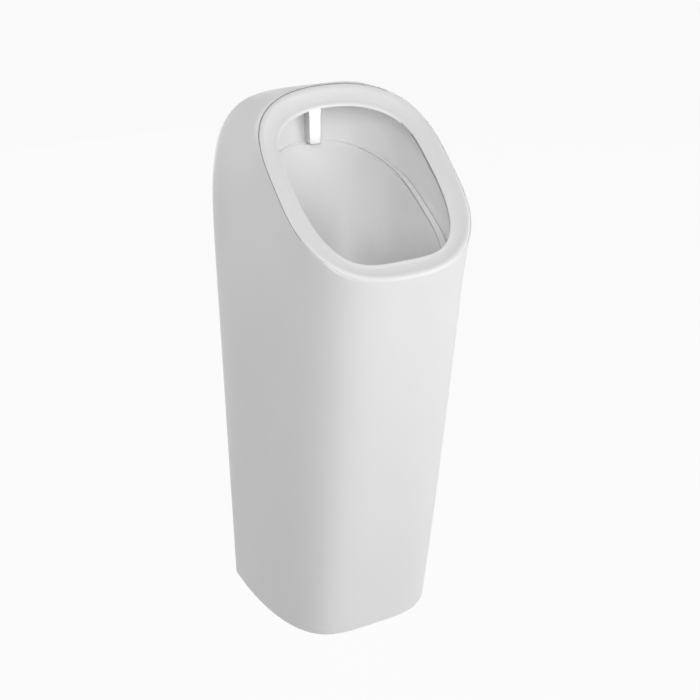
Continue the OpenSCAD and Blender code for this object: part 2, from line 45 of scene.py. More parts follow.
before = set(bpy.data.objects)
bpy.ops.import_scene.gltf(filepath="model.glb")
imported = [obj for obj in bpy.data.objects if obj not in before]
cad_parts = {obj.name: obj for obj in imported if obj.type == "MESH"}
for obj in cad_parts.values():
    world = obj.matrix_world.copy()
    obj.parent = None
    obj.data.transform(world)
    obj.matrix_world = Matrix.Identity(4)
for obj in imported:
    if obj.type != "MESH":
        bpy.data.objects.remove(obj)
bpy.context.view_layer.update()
BODY_LOW, BODY_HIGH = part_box("ceramic_body")
COVER_LOW, COVER_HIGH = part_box("spreader_cover")
WASTE_LOW, WASTE_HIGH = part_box("waste_body")
NUT_LOW, NUT_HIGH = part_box("spreader_locknut")

MM = 0.001
LIP_EXTRA = 0.25 * MM      # what rounding the lip takes off the depth
WALL_Y = BODY_HIGH.y
OUTLET = WALL_Y - (WASTE_LOW.y + WASTE_HIGH.y) / 2


# ------------------------------------------------------------------ sizes

class CeramicSizes(bpy.types.PropertyGroup):
    """Sizes of the ceramic, measured from the wall and the floor."""

    rim_top: bpy.props.FloatProperty(
        name="Rim top", description="Height of the rim's top edge",
        default=BODY_HIGH.z, unit="LENGTH")
    overall_depth: bpy.props.FloatProperty(
        name="Depth", description="From the wall to the front of the rim",
        default=BODY_HIGH.y - BODY_LOW.y + LIP_EXTRA, unit="LENGTH")
    base_width: bpy.props.FloatProperty(
        name="Base width", description="Width at the floor", default=0.3198, unit="LENGTH")
    base_depth: bpy.props.FloatProperty(
        name="Base depth", description="Depth at the floor", default=0.244, unit="LENGTH")
    back_width: bpy.props.FloatProperty(
        name="Back width", description="Width of the back edge, taken on to its top",
        default=0.3394, unit="LENGTH")
    back_height: bpy.props.FloatProperty(
        name="Back height", description="Height of the back edge", default=0.8852, unit="LENGTH")
    shoulder_height: bpy.props.FloatProperty(
        name="Shoulder height", description="Where the back edge starts to round over",
        default=0.567, unit="LENGTH")
    rim_width: bpy.props.FloatProperty(
        name="Rim width", description="Width over the rim", default=0.2898, unit="LENGTH")
    lip_height: bpy.props.FloatProperty(
        name="Lip height", description="Height of the rim's front edge",
        default=0.6905, unit="LENGTH")
    rim_setback: bpy.props.FloatProperty(
        name="Rim setback", description="From the wall to the rim's top edge",
        default=0.0639, unit="LENGTH")
    rim_side: bpy.props.FloatProperty(
        name="Rim at the sides", description="Width of the rim face at the sides",
        default=0.0321, unit="LENGTH")
    rim_front: bpy.props.FloatProperty(
        name="Rim at the lip", description="Plan depth of the rim face at the lip",
        default=0.026, unit="LENGTH")
    rim_back: bpy.props.FloatProperty(
        name="Rim at the top", description="Plan depth of the rim face at the top",
        default=0.0186, unit="LENGTH")
    fall_back: bpy.props.FloatProperty(
        name="Fall at the top",
        description="How far the rim face falls towards the cavity at the top",
        default=0.015, unit="LENGTH")
    fall_front: bpy.props.FloatProperty(
        name="Fall at the lip",
        description="How far the rim face falls towards the cavity at the lip",
        default=0.0044, unit="LENGTH")
    undercut: bpy.props.FloatProperty(
        name="Undercut", description="How far the inner wall lies outside the rim's inner edge",
        default=0.013, unit="LENGTH")
    back_wall: bpy.props.FloatProperty(
        name="Back wall", description="Ceramic behind the cavity", default=0.010, unit="LENGTH")
    ledge_back: bpy.props.FloatProperty(
        name="Ledge at the back", description="Height of the ledge at the back",
        default=0.799, unit="LENGTH")
    ledge_front: bpy.props.FloatProperty(
        name="Ledge at the front", description="Height of the ledge at the front",
        default=0.659, unit="LENGTH")
    ledge_width: bpy.props.FloatProperty(
        name="Ledge width", description="Width between the ledge's side edges",
        default=0.2282, unit="LENGTH")
    bowl_floor: bpy.props.FloatProperty(
        name="Bowl floor", description="Height of the bowl's floor",
        default=WASTE_HIGH.z, unit="LENGTH")


class FinishColours(bpy.types.PropertyGroup):
    """Colours of the finishes."""

    glaze: bpy.props.FloatVectorProperty(
        name="Glaze", description="Colour of the white glaze", subtype="COLOR", size=3,
        default=(0.94, 0.94, 0.94))
    # Painted shade: this dark colour stands in for the shade in the thin line along the rim's inner
    # edge, in the seam under the rim and at the foot.
    edge: bpy.props.FloatVectorProperty(
        name="Painted edge shade", description="Colour painted as shade along the rim's inner edge, the seam and the foot",
        subtype="COLOR", size=3, default=(0.36, 0.36, 0.36))
    # Painted shade: this grey stands in for the shade on the ledge's grooves and for the softer
    # shade where the dark painted lines fade out.
    ledge: bpy.props.FloatVectorProperty(
        name="Painted ledge shade",
        description="Colour painted as shade in the ledge's grooves and where the darker painted shade fades out",
        subtype="COLOR", size=3, default=(0.6, 0.6, 0.6))
    bare: bpy.props.FloatVectorProperty(
        name="Bare ceramic", description="Colour of the unglazed ceramic", subtype="COLOR", size=3,
        default=(0.72, 0.69, 0.63))
    chrome: bpy.props.FloatVectorProperty(
        name="Chrome", description="Colour of the plated metal", subtype="COLOR", size=3,
        default=(0.70, 0.70, 0.71))
    # Painted highlight: this near-white stands in for the light that the bar's forward faces catch,
    # so they look brighter than the chrome sides.
    satin: bpy.props.FloatVectorProperty(
        name="Satin chrome", description="Colour of the bar's satin front, with a painted highlight", subtype="COLOR", size=3,
        default=(0.97, 0.97, 0.97))
    steel: bpy.props.FloatVectorProperty(
        name="Steel", description="Colour of the brushed steel", subtype="COLOR", size=3,
        default=(0.62, 0.62, 0.62))
    brass: bpy.props.FloatVectorProperty(
        name="Brass", description="Colour of the turned brass", subtype="COLOR", size=3,
        default=(0.70, 0.53, 0.26))
    plastic: bpy.props.FloatVectorProperty(
        name="Plastic", description="Colour of the white trap plastic", subtype="COLOR", size=3,
        default=(0.80, 0.80, 0.78))
    grey: bpy.props.FloatVectorProperty(
        name="Grey plastic", description="Colour of the spreader's plastic", subtype="COLOR",
        size=3, default=(0.10, 0.10, 0.105))
    orange: bpy.props.FloatVectorProperty(
        name="Orange plastic", description="Colour of the flow regulator", subtype="COLOR",
        size=3, default=(0.62, 0.20, 0.05))
    fibre: bpy.props.FloatVectorProperty(
        name="Fibre", description="Colour of the fibre washer", subtype="COLOR", size=3,
        default=(0.36, 0.10, 0.07))
    rubber: bpy.props.FloatVectorProperty(
        name="Rubber", description="Colour of the seals", subtype="COLOR", size=3,
        default=(0.025, 0.025, 0.027))


class StageSettings(bpy.types.PropertyGroup):
    """Camera, light and floor."""

    lens: bpy.props.FloatProperty(
        name="Lens", description="Focal length of the camera, in millimetres",
        default=59.824, unit="CAMERA")
    floor_shade: bpy.props.FloatProperty(
        name="Floor shade", description="How white the floor looks", subtype="FACTOR",
        default=0.95, min=0.0, max=1.0)
    ambient: bpy.props.FloatProperty(
        name="Ambient", description="Strength of the light from all round", default=0.0, min=0.0)


# ------------------------------------------------------------------ constants of the ceramic

RING_POINTS = 216
SAME = 1e-6                # points nearer than this are one

# How square an oval is: across and along behind its middle, then in front of it.
ROUND_SQUARE = (2.0, 2.0, 2.0, 2.0)
RIM_SQUARE = (2.267, 3.204, 2.476, 2.960)
INNER_SQUARE = (2.135, 3.895, 3.905, 2.270)
LEDGE_SQUARE = (2.093, 2.384, 3.629, 3.668)
WALL_TOP_SQUARE = (2.2, 3.4, 3.6, 2.6)
WALL_MID_SQUARE = (2.3, 2.8, 3.6, 3.0)
HOLLOW_SQUARE = (3.2, 3.2, 2.7, 2.8)

# The body: its plan at the floor, its back edge, the bow of its sides and the neck under the rim.
CORNER_ANGLE = -30.0
FLOOR_SPREAD, BACK_SPREAD = 0.571, 0.556
PLAN_ACROSS, PLAN_ALONG = 4.041, 2.018
SHOULDER_ACROSS, SHOULDER_UP = 4.025, 4.682
SIDE_SHARE = 0.6
SIDE_BOW, BOW_SKEW = 10.7 * MM, 0.71
NECK_DEPTH, NECK_SHARE, NECK_SPREAD, NECK_FRONT = 1.3 * MM, 0.90, 0.08, 0.9
BODY_TOP, BODY_RINGS = 0.96, 45
FOOT_RADIUS, FOOT_RINGS = 4 * MM, 5

# The rim. Sizes in threes are those at the lip, at the sides and at the back.
CORNER_RISE = 0.2 * MM
RIM_LIFT = (0.0, 2.4 * MM, 0.0)
RIM_SWELL, SWELL_TURN, SWELL_POWER = 0.6 * MM, math.radians(38), 4
RIM_HOLLOW, RIM_SHARES = 1.4 * MM, (0.2, 0.35, 0.5, 0.65, 0.8, 0.92)
INNER_DROP = (-5 * MM, -5 * MM, -2.6 * MM)
INNER_ROUND, INNER_STEPS = 3 * MM, 8
INNER_FOOT_BELOW, INNER_FOOT_ABOVE, INNER_FOOT_STEPS = 1.2 * MM, 0.6 * MM, 3

# The bead and the seam beside it, as pairs at the lip and behind it. Each is in millimetres from
# the corner: in along the face, then down the side.
BEAD = (((7.0, 0.0), (9.0, 0.0)), ((0.0, 0.0), (1.8, 0.0)), ((0.0, 7.0), (2.3, 3.8)))
BEAD_STEPS = 12
SEAM = (((0.0, 7.4), (1.9, 4.1)), ((0.0, 8.0), (1.2, 3.6)), ((0.0, 8.6), (0.6, 2.7)),
        ((0.0, 9.2), (0.2, 2.8)), ((0.0, 10.0), (0.0, 3.6)), ((0.0, 14.0), (0.0, 8.0)))
SEAM_FROM, SEAM_OVER = -0.93, 0.3          # sines of the ring angle

# The inner wall. Its lip is the inner oval shifted by these; the rest is set off in single sizes.
WALL_LIP = (-9 * MM, 8 * MM, 8 * MM, -1 * MM, -12 * MM)
WALL_TOP_BACK, WALL_TOP_FRONT, WALL_TOP_FALL = 8 * MM, 2 * MM, (1 * MM, 20 * MM)
WALL_MID_FRONT, WALL_MID_FALL, WALL_MID_RISE = 6 * MM, 14 * MM, 22 * MM
WALL_FOOT_SHARE, WALL_STEPS = 0.15, 10

# The water ledge: a groove below its edge (down, deep) and a gutter behind it (back, down).
LEDGE_SETBACK, LEDGE_FRONT_GAP = 14 * MM, 54.1 * MM
LEDGE_STEP, LEDGE_RISE = 11 * MM, (-1 * MM, -3.5 * MM, 2.5 * MM)
LEDGE_GROOVE = ((6.5 * MM, 0.0), (4.8 * MM, 0.5 * MM), (4.2 * MM, 2.4 * MM), (2.6 * MM, 2.6 * MM),
                (2.0 * MM, 0.8 * MM))
LEDGE_BELOW, LEDGE_ABOVE, LEDGE_STEPS = 1.0 * MM, 1.2 * MM, 5
LEDGE_GUTTER = ((2.6 * MM, 0.0), (2.2 * MM, 1.4 * MM), (0.4 * MM, 1.7 * MM), (0.0, 1.2 * MM),
                (0.0, -1.6 * MM))

# The bowl, the seat of the waste and the boss under it. Pairs are out and down, or in and up.
BOWL_CURVE, BOWL_RINGS, BOWL_THICKNESS, FLOOR_INSET = 0.9, 36, 11 * MM, 6 * MM
SEAT_RADIUS, SEAT_DEPTH, SEAT_EASE = 33.5 * MM, 5 * MM, 0.6 * MM
SEAT_LIP = ((0.0, 1.2 * MM), (0.4 * MM, 0.3 * MM), (1.3 * MM, 0.0))
WASTE_HOLE, HOLE_EASE = 23.5 * MM, 0.8 * MM
BOSS_THICKNESS, BOSS_RADIUS, BOSS_SIDE = 18 * MM, 42 * MM, 8 * MM
BOSS_LIP = ((0.0, BOSS_SIDE), (0.5 * MM, 0.5 * MM), (1.2 * MM, 0.0))

# The open hollow behind, the inlet, the two hanging pockets and the notch behind the bar.
FLANGE, OPENING_HEIGHT = 14 * MM, 774 * MM
HOLLOW_BACK, HOLLOW_FRONT_GAP, HOLLOW_SIDE_GAP = 8 * MM, 16 * MM, 6 * MM
HOLLOW_TOP_GAP, HOLLOW_LIP_GAP = 2 * MM, 26 * MM
HOLLOW_RINGS, UNDER_RINGS = 24, 18
INLET_HOLE, INLET_REACH, RECESS_RADIUS, RECESS_DEPTH = 7.5 * MM, 40 * MM, 15 * MM, 5 * MM
HANGER_SPACING, HANGER_HEIGHT, HANGER_TRAVEL = 284 * MM, 790 * MM, 14 * MM
HANGER_ENTRY, HANGER_NECK, HANGER_DEPTH, HANGER_LIP = 7 * MM, 6.5 * MM, 13 * MM, 6 * MM
NOTCH_GAP, NOTCH_REACH = 0.6 * MM, 20 * MM
PAST = 10 * MM             # how far a cutter reaches past the face it cuts
APART = 0.1 * MM           # keeps the faces of two cutters out of one plane

# Where shade is painted on the glaze: an arc round the rim and the width over which it fades, in
# degrees, then the rows of faces that carry the painted shade.
EDGE_SHADE_ARC = ((-112, 44), 16)
SEAM_SHADE_ARC = ((50, 222), 14)
LEDGE_SHADE_ARC = ((-80, 66), 26)
EDGE_SOFT, LEDGE_SOFT = 0.4, 0.5           # from here on the softer painted shade shows
EDGE_SHADE_ROWS, LEDGE_SHADE_ROWS, FOOT_SHADE_ROWS = 4, 3, 2
SEAM_SHADE_ROWS = (1, 2)                         # before and after the bottom of the seam
# The last two ceramic finishes are painted shade: a dark one for the thin lines and a softer grey
# for the ledge and the lines' fading ends.
CERAMIC_FINISHES = ("white_glaze", "bare_ceramic", "edge_glaze", "ledge_glaze")
GLAZED, BARE, DARK_PAINTED_SHADE, SOFT_PAINTED_SHADE = range(len(CERAMIC_FINISHES))
SHELL_SMOOTH = 38.0

# The bar: its sizes, then the least area of a flat face and how square to an axis it lies, and how
# nearly a face looks forwards to be satin, with a painted highlight in its colour.
BAR_TRIM, BAR_CORNER, BAR_EDGE, BAR_WALL, BAR_INSET = 2 * MM, 5 * MM, 1.4 * MM, 1.2 * MM, 0.3 * MM
BAR_CORNER_STEPS, BAR_EDGE_STEPS = 12, 6
BAR_FLAT, BAR_SQUARE, BAR_FRONT = 0.0001, 0.9999, 0.98
BAR_SMOOTH = 30.0


# ------------------------------------------------------------------ rings of the ceramic

def signed_power(value, exponent):
    """A power that keeps the value's sign."""
    return math.copysign(abs(value) ** exponent, value)


def mix(a, b, share):
    """The value a share of the way from a to b."""
    return a + (b - a) * share


def ring_angles():
    """The angles of a ring's points, from the front round to the right."""
    return [math.radians(i * 360.0 / RING_POINTS - 90.0) for i in range(RING_POINTS)]


def oval(back, front, half_width, z_back, z_front, square):
    """A closed oval round the cavity; back and front are distances from the wall."""
    points = []
    middle, half = -(back + front) / 2, (front - back) / 2
    for a in ring_angles():
        across, along = square[:2] if math.sin(a) >= 0 else square[2:]
        s = signed_power(math.sin(a), 2 / along)
        points.append(Vector((
            half_width * signed_power(math.cos(a), 2 / across),
            WALL_Y + middle + half * s,
            mix(z_front, z_back, (s + 1) / 2))))
    return points


def between(low, high, share, bow=0.0, neck=0.0):
    """A ring between two rings, bowed outwards at the sides and drawn in a little under the rim."""
    ring = []
    swell = 4 * share * (1 - share) * bow * (1 + BOW_SKEW * (1 - 2 * share))
    drawn = neck * math.exp(-((share - NECK_SHARE) / NECK_SPREAD) ** 2)
    for a, p, q in zip(ring_angles(), low, high):
        point = p.lerp(q, share)
        point.x += (swell * abs(math.cos(a)) - drawn) * math.cos(a)
        point.y -= drawn * NECK_FRONT * min(math.sin(a), 0.0)
        ring.append(point)
    return ring


def outline(s, inset, depth, top):
    """The edge that stands on the floor and runs up the wall."""
    points = []
    for angle in ring_angles():
        a = math.degrees(angle)
        b = 180.0 - a if a > 90.0 else a
        if b < CORNER_ANGLE:
            t = math.radians(90 * ((CORNER_ANGLE - b) / (90 + CORNER_ANGLE)) ** FLOOR_SPREAD)
            x = (s.base_width / 2 - inset) * signed_power(math.cos(t), 2 / PLAN_ACROSS)
            y = -depth - (s.base_depth - inset - depth) * abs(math.sin(t)) ** (2 / PLAN_ALONG)
            z = depth
        else:
            u = max(0.0, (b - CORNER_ANGLE) / (90 - CORNER_ANGLE)) ** BACK_SPREAD
            if u < SIDE_SHARE:
                th, z = 0.0, mix(depth, s.shoulder_height, u / SIDE_SHARE)
            else:
                th = math.radians(90 * (u - SIDE_SHARE) / (1 - SIDE_SHARE))
                z = mix(s.shoulder_height, top - inset, abs(math.sin(th)) ** (2 / SHOULDER_UP))
            half = mix(s.base_width, s.back_width, z / s.back_height) / 2
            x = (half - inset) * abs(math.cos(th)) ** (2 / SHOULDER_ACROSS)
            y = -depth
        points.append(Vector((-x if a > 90.0 else x, WALL_Y + y, z)))
    return points


def fillet(corner, before, after, radius_before, radius_after, steps):
    """Rings that round the corner between the rings before it and after it."""
    rings = []
    for k in range(steps + 1):
        f = k / steps
        ring = []
        for c, p, q in zip(corner, before, after):
            start = c + (p - c).normalized() * min(radius_before, (p - c).length)
            end = c + (q - c).normalized() * min(radius_after, (q - c).length)
            ring.append(start * (1 - f) ** 2 + c * 2 * f * (1 - f) + end * f ** 2)
        rings.append(ring)
    return rings


def hollowed(low, high, share, depth):
    """A ring between two rings, sunk below the face that joins them."""
    ring = []
    count = len(low)
    for i, (p, q) in enumerate(zip(low, high)):
        along = high[(i + 1) % count] - high[i - 1]
        normal = (q - p).cross(along).normalized()
        if normal.z < 0:
            normal.negate()
        ring.append(p.lerp(q, share) - normal * depth * 4 * share * (1 - share))
    return ring


def seam_share(a):
    """How much of the seam under the rim shows at an angle: none at the lip, all of it behind."""
    return min(1.0, max(0.0, (math.sin(a) - SEAM_FROM) / SEAM_OVER))


def around(a, sizes):
    """A size that passes from its value at the lip to those at the sides and at the back."""
    lip, side, back = sizes
    return mix(lip, side, seam_share(a)) if math.sin(a) < 0 else mix(side, back, math.sin(a))


def swelling(a):
    """How far the bead swells sideways: most at the front corners."""
    turn = a if math.cos(a) >= 0 else math.pi - a
    return RIM_SWELL * max(0.0, math.cos(turn + SWELL_TURN)) ** SWELL_POWER * math.cos(a)


def lifted(ring, sizes):
    """A ring raised by a size that changes round it."""
    return [p + Vector((0, 0, around(a, sizes))) for a, p in zip(ring_angles(), ring)]


def beside(a, c, p, q, lip, behind):
    """A point off a corner, by millimetres along the face and down the side: at the lip, behind."""
    share = seam_share(a)
    inward, down = (mix(x, y, share) * MM for x, y in zip(lip, behind))
    return c + (p - c).normalized() * inward + (q - c).normalized() * down


def fade(a, arc, width):
    """How far in an arc an angle lies, both in degrees: 0 outside, rising to 1 over the width."""
    start, end = arc
    past = (a - start) % 360
    return min(1.0, past / width, (end - start - past) / width) if past < end - start else 0.0


def bead(corner, inside, below):
    """Rings that round the rim's outer edge, and behind the lip end in a narrow seam."""
    rings = []
    for k in range(BEAD_STEPS + 1):
        f = k / BEAD_STEPS
        ring = []
        for a, c, p, q in zip(ring_angles(), corner, inside, below):
            start, pull, end = (beside(a, c, p, q, *pair) for pair in BEAD)
            ring.append(start * (1 - f) ** 2 + pull * 2 * f * (1 - f) + end * f ** 2)
        rings.append(ring)
    return rings


def seam(corner, inside, below):
    """Rings from the bottom of the seam over its outer lip and down the side."""
    return [[beside(a, c, p, q, *pair) for a, c, p, q in zip(ring_angles(), corner, inside, below)]
            for pair in SEAM]


def spline(rings, steps, tension=0.5):
    """Rings along a smooth curve through the given rings, without the first and the last one."""
    out = []
    count = len(rings)
    for i in range(1, count - 2):
        for k in range(steps):
            f = k / steps
            h1, h2 = 2 * f ** 3 - 3 * f ** 2 + 1, 3 * f ** 2 - 2 * f ** 3
            h3, h4 = f ** 3 - 2 * f ** 2 + f, f ** 3 - f ** 2
            out.append([
                b * h1 + c * h2 + (c - a) * tension * h3 + (d - b) * tension * h4
                for a, b, c, d in zip(rings[i - 1], rings[i], rings[i + 1], rings[i + 2])])
    out.append(rings[count - 2])
    return out


def circle(radius, z):
    """A round ring about the outlet's axis."""
    return oval(OUTLET - radius, OUTLET + radius, radius, z, z, ROUND_SQUARE)


def bowl(theta, top, low):
    """A ring of a bowl between two ovals, given by their sizes: the top one at 0, the low at 90."""
    theta = math.radians(theta)
    share, depth = math.cos(theta) ** BOWL_CURVE, math.sin(theta)
    sizes = [mix(low[i], top[i], share) for i in range(3)]
    sizes += [mix(top[i], low[i], depth) for i in (3, 4)]
    return oval(*sizes, [mix(a, b, share) for a, b in zip(ROUND_SQUARE, LEDGE_SQUARE)])


def skin(rings):
    """A closed mesh drawn out from ring to ring, each new one extruded from the last."""
    bm = bmesh.new()
    loop = [bm.verts.new(p) for p in rings[0]]
    count = len(loop)
    edges = [bm.edges.new((loop[i], loop[(i + 1) % count])) for i in range(count)]
    for ring in rings[1:] + [rings[0]]:
        grown = bmesh.ops.extrude_edge_only(bm, edges=edges)["geom"]
        fresh = {g for g in grown if isinstance(g, bmesh.types.BMVert)}
        loop = [next(e.other_vert(v) for e in v.link_edges if e.other_vert(v) in fresh)
                for v in loop]
        edges = [bm.edges.get((loop[i], loop[(i + 1) % count])) for i in range(count)]
        for v, p in zip(loop, ring):
            v.co = p
    bmesh.ops.remove_doubles(bm, verts=bm.verts, dist=SAME)
    bmesh.ops.recalc_face_normals(bm, faces=bm.faces)
    return bm


# ------------------------------------------------------------------ helpers

def piece_from(bm, name, body, materials, smooth_angle):
    """Turns a bmesh into a piece of the object that rides on a body."""
    mesh = bpy.data.meshes.new(name)
    bm.to_mesh(mesh)
    bm.free()
    for material in materials:
        mesh.materials.append(material)
    mesh.polygons.foreach_set("use_smooth", [True] * len(mesh.polygons))
    mesh.set_sharp_from_angle(angle=math.radians(smooth_angle))
    obj = bpy.data.objects.new(name, mesh)
    bpy.context.scene.collection.objects.link(obj)
    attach(obj, body)
    return obj


ROD_SIDES = 64


def rod(x, y, z, radius, length):
    """A round cutter that lies along Y and starts at y."""
    bm = bmesh.new()
    turn = Matrix.Translation((x, y + length / 2, z)) @ Matrix.Rotation(math.radians(90), 4, "X")
    bmesh.ops.create_cone(bm, cap_ends=True, segments=ROD_SIDES, radius1=radius, radius2=radius,
                          depth=length, matrix=turn)
    return bm


def block(x0, x1, y0, y1, z0, z1):
    """A box between two corners."""
    bm = bmesh.new()
    bmesh.ops.create_cube(bm, size=1.0)
    bmesh.ops.scale(bm, vec=(x1 - x0, y1 - y0, z1 - z0), verts=bm.verts)
    bmesh.ops.translate(bm, vec=((x0 + x1) / 2, (y0 + y1) / 2, (z0 + z1) / 2), verts=bm.verts)
    return bm


def carve(piece, cutters):
    """Cuts shapes out of a piece, each with the index of the finish it leaves."""
    helpers = []
    for index, (bm, left) in enumerate(cutters):
        mesh = bpy.data.meshes.new("cutter")
        bm.to_mesh(mesh)
        bm.free()
        for material in piece.data.materials:
            mesh.materials.append(material)
        mesh.polygons.foreach_set("material_index", [left] * len(mesh.polygons))
        cutter = bpy.data.objects.new("cutter", mesh)
        bpy.context.scene.collection.objects.link(cutter)
        cut = piece.modifiers.new(f"cut_{index}", "BOOLEAN")
        cut.object = cutter
        cut.operation = "DIFFERENCE"
        cut.solver = "EXACT"
        helpers.append(cutter)
    evaluated = piece.evaluated_get(bpy.context.evaluated_depsgraph_get())
    carved = bpy.data.meshes.new_from_object(evaluated)
    if len(carved.polygons) == len(piece.data.polygons):
        raise RuntimeError(f"nothing was cut out of {piece.name}")
    piece.modifiers.clear()
    piece.data = carved
    for cutter in helpers:
        bpy.data.objects.remove(cutter)


def new_material(name, base, roughness, metallic=0.0):
    """A material with its Principled shader set, its node tree and an Object coordinate output."""
    material = bpy.data.materials.new(name)
    material.use_nodes = True
    tree = material.node_tree
    shader = tree.nodes["Principled BSDF"]
    shader.inputs["Base Color"].default_value = (*base, 1.0)
    shader.inputs["Roughness"].default_value = roughness
    shader.inputs["Metallic"].default_value = metallic
    place = tree.nodes.new("ShaderNodeTexCoord").outputs["Object"]
    return material, tree, shader, place


def noise(tree, place, scale, detail=3.0, stretch=None):
    """A noise pattern on Object coordinates; stretch squeezes it along the axes."""
    if stretch:
        mapping = tree.nodes.new("ShaderNodeMapping")
        mapping.inputs["Scale"].default_value = stretch
        tree.links.new(place, mapping.inputs["Vector"])
        place = mapping.outputs["Vector"]
    node = tree.nodes.new("ShaderNodeTexNoise")
    node.inputs["Scale"].default_value = scale
    node.inputs["Detail"].default_value = detail
    tree.links.new(place, node.inputs["Vector"])
    return node.outputs["Fac"]


NOISE_LOW, NOISE_HIGH = 0.3, 0.7           # nearly all of a noise pattern lies between these


def ramp(tree, value, low, high):
    """Maps a pattern to the range from low to high."""
    node = tree.nodes.new("ShaderNodeMapRange")
    node.inputs["From Min"].default_value = NOISE_LOW
    node.inputs["From Max"].default_value = NOISE_HIGH
    node.inputs["To Min"].default_value = low
    node.inputs["To Max"].default_value = high
    tree.links.new(value, node.inputs["Value"])
    return node.outputs["Result"]


def tint(tree, value, base, share):
    """The base colour, darkened by up to a share where the pattern is low."""
    node = tree.nodes.new("ShaderNodeMix")
    node.data_type = "RGBA"
    node.inputs["A"].default_value = (*[c * (1 - share) for c in base], 1.0)
    node.inputs["B"].default_value = (*base, 1.0)
    tree.links.new(value, node.inputs["Factor"])
    return node.outputs["Result"]


def bump(tree, shader, height, distance, strength=1.0):
    """Raises the surface by a pattern, distance in metres."""
    node = tree.nodes.new("ShaderNodeBump")
    node.inputs["Distance"].default_value = distance
    node.inputs["Strength"].default_value = strength
    tree.links.new(height, node.inputs["Height"])
    tree.links.new(node.outputs["Normal"], shader.inputs["Normal"])


# ------------------------------------------------------------------ finishes

# Roughness stays wholly above 0.28 or wholly below 0.27, so that no finish comes out speckled.
GLAZE_GLOSS, GLAZE_LOW, GLAZE_HIGH, GLAZE_IOR = 0.3, 0.285, 0.325, 1.5
GLAZE_CLOUDS, GLAZE_PATCHES, GLAZE_WAVES = 9.0, 40.0, 22.0
GLAZE_POOLING, GLAZE_RIPPLE = 0.03, 0.00004
BARE_ROUGHNESS, BARE_GRAIN, BARE_BLOTCHES, BARE_TONE, BARE_PITS = 0.85, 900.0, 14.0, 0.10, 0.0002
METAL_TONE, MOULDED_TONE, MOULDED_CLOUDS, GRAIN_STRENGTH = 0.06, 0.06, 25.0, 0.5

# Each finish and its colour in the panel. The numbers are the lowest and highest roughness, the
# scale of the grain and the height of its ripple in metres; metals end with the grain's stretch.
# Two of the glazes are painted shade: the dark edge one for the lines along the rim's inner edge,
# the seam and the foot, the grey ledge one for the ledge's grooves and the fading ends.
GLAZES = {"white_glaze": "glaze", "edge_glaze": "edge", "ledge_glaze": "ledge"}
METALS = {
    "polished_chrome": ("chrome", 0.05, 0.11, 60.0, 0.00002, None),
    "satin_chrome": ("satin", 0.30, 0.36, 60.0, 0.00002, None),
    "brushed_steel": ("steel", 0.29, 0.44, 900.0, 0.00006, (1.0, 0.04, 1.0)),
    "turned_brass": ("brass", 0.29, 0.42, 500.0, 0.00002, None),
}
MOULDED = {
    "white_plastic": ("plastic", 0.34, 0.46, 1400.0, 0.00008),
    "grey_plastic": ("grey", 0.3, 0.4, 1400.0, 0.00008),
    "orange_plastic": ("orange", 0.3, 0.4, 1400.0, 0.00008),
    "black_rubber": ("rubber", 0.6, 0.75, 1800.0, 0.00012),
    "red_fibre": ("fibre", 0.8, 0.95, 700.0, 0.0002),
}


def glaze_material(name, colour):
    """White vitreous glaze: a soft gloss, with a faint pooling of tone and a slight ripple; with a
    darker colour it makes the painted shade.
    """
    material, tree, shader, place = new_material(name, colour, GLAZE_GLOSS)
    shader.inputs["IOR"].default_value = GLAZE_IOR
    cloud = noise(tree, place, GLAZE_CLOUDS, detail=2.0)
    tree.links.new(tint(tree, cloud, colour, GLAZE_POOLING), shader.inputs["Base Color"])
    patches = noise(tree, place, GLAZE_PATCHES)
    tree.links.new(ramp(tree, patches, GLAZE_LOW, GLAZE_HIGH), shader.inputs["Roughness"])
    bump(tree, shader, noise(tree, place, GLAZE_WAVES, detail=1.0), GLAZE_RIPPLE)
    return material


def bare_material(name, colour):
    """Unglazed ceramic: matt, warm, finely grained, with small pits."""
    material, tree, shader, place = new_material(name, colour, BARE_ROUGHNESS)
    blotches = noise(tree, place, BARE_BLOTCHES, detail=4.0)
    tree.links.new(tint(tree, blotches, colour, BARE_TONE), shader.inputs["Base Color"])
    bump(tree, shader, noise(tree, place, BARE_GRAIN, detail=6.0), BARE_PITS, strength=0.6)
    return material


def metal_material(name, colour, low, high, scale, ripple, stretch):
    """Metal whose roughness wanders between two values along its grain."""
    material, tree, shader, place = new_material(name, colour, low, 1.0)
    grain = noise(tree, place, scale, 4.0, stretch)
    tree.links.new(ramp(tree, grain, low, high), shader.inputs["Roughness"])
    tree.links.new(tint(tree, grain, colour, METAL_TONE), shader.inputs["Base Color"])
    bump(tree, shader, grain, ripple, GRAIN_STRENGTH)
    return material


def moulded_material(name, colour, low, high, scale, ripple):
    """Moulded plastic, rubber or fibre with a fine eggshell grain."""
    material, tree, shader, place = new_material(name, colour, low)
    grain = noise(tree, place, scale, detail=5.0)
    clouds = noise(tree, place, MOULDED_CLOUDS)
    tree.links.new(ramp(tree, grain, low, high), shader.inputs["Roughness"])
    tree.links.new(tint(tree, clouds, colour, MOULDED_TONE), shader.inputs["Base Color"])
    bump(tree, shader, grain, ripple, GRAIN_STRENGTH)
    return material


def finish(name):
    """The named finish, made once from the colours in the panel."""
    made = bpy.data.materials.get(name)
    if made:
        return made
    colours = bpy.context.scene.urinal_colours
    if name in GLAZES:
        return glaze_material(name, tuple(getattr(colours, GLAZES[name])))
    if name == "bare_ceramic":
        return bare_material(name, tuple(colours.bare))
    make, table = (metal_material, METALS) if name in METALS else (moulded_material, MOULDED)
    colour, *numbers = table[name]
    return make(name, tuple(getattr(colours, colour)), *numbers)


